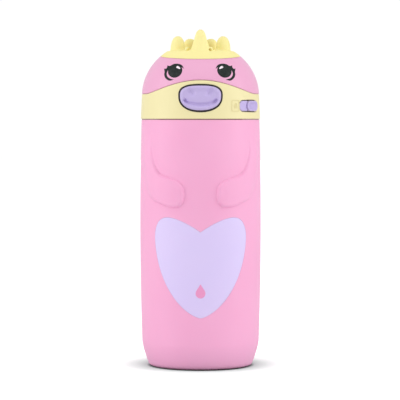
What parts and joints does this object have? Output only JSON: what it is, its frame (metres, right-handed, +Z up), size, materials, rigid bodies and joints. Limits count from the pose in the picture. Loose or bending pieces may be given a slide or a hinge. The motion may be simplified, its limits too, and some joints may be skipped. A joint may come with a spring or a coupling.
{
  "type": "kids water bottle",
  "caption": "Insulated flip-top kids' bottle shaped like a small crested animal, with push-button snout, sliding lock and straw.",
  "frame": {"origin": "middle of the flat underside of the silicone sleeve, on the bottle's axis", "axes": "+Z up along the bottle's axis, -Y towards the front (snout and belly heart), +X towards the lock's side"},
  "size_m": [0.073, 0.0779, 0.2026],
  "materials": {
    "sleeve_pink": "satin silicone",
    "head_pink": "satin moulded plastic",
    "lavender": "satin silicone",
    "button_lavender": "fine matte moulded plastic",
    "lemon": "satin moulded plastic",
    "crest_lemon": "soft-touch rubber",
    "steel": "brushed stainless steel",
    "white_plastic": "satin polypropylene",
    "clear_silicone": "translucent food-grade silicone",
    "black_silicone": "matte silicone seal"
  },
  "bodies": {
    "bottle": {"silicone_sleeve": "sleeve_pink", "belly_inlay": "lavender", "outer_shell": "steel", "inner_liner": "steel", "bottom_cap": "steel", "getter_capsule": "steel"},
    "gasket": {"lid_gasket": "clear_silicone"},
    "lid": {"lid_collar": "lemon", "lid_insert": "white_plastic", "spout": "clear_silicone", "straw": "white_plastic", "vent_valve": "clear_silicone", "button_wiper": "black_silicone", "button_spring_left": "steel", "button_spring_right": "steel", "hinge_pin": "steel", "hinge_spring": "steel"},
    "button": {"snout_button": "button_lavender"},
    "lock": {"lock_slider": "button_lavender"},
    "cover": {"cover_shell": "head_pink", "cover_liner": "white_plastic", "spout_seal": "clear_silicone", "crest": "crest_lemon"}
  },
  "joints": [
    {"name": "lid_rise", "type": "slide", "parent": "bottle", "child": "gasket", "axis": [0, 0, 1], "range_m": [0, 0.0068]},
    {"name": "lid_turn", "type": "hinge", "parent": "gasket", "child": "lid", "pos_m": [0, 0, 0.155], "axis": [0, 0, 1], "range_deg": [0, 540]},
    {"name": "cover_open", "type": "hinge", "parent": "lid", "child": "cover", "pos_m": [0, 0.0382, 0.165], "axis": [-1, 0, 0], "range_deg": [0, 110], "deforming": ["hinge_spring"]},
    {"name": "button_press", "type": "slide", "parent": "lid", "child": "button", "axis": [0, 1, 0], "range_m": [0, 0.0018], "stiffness_N_per_m": 600, "springref_m": -0.002, "deforming": ["button_spring_left", "button_spring_right"]},
    {"name": "lock_slide", "type": "hinge", "parent": "lid", "child": "lock", "pos_m": [0, 0, 0.1567], "axis": [0, 0, -1], "range_deg": [0, 9.6]}
  ],
  "couplings": [
    {"joint": "lid_rise", "follows": "lid_turn", "m_per_rad": 0.0007162}
  ]
}
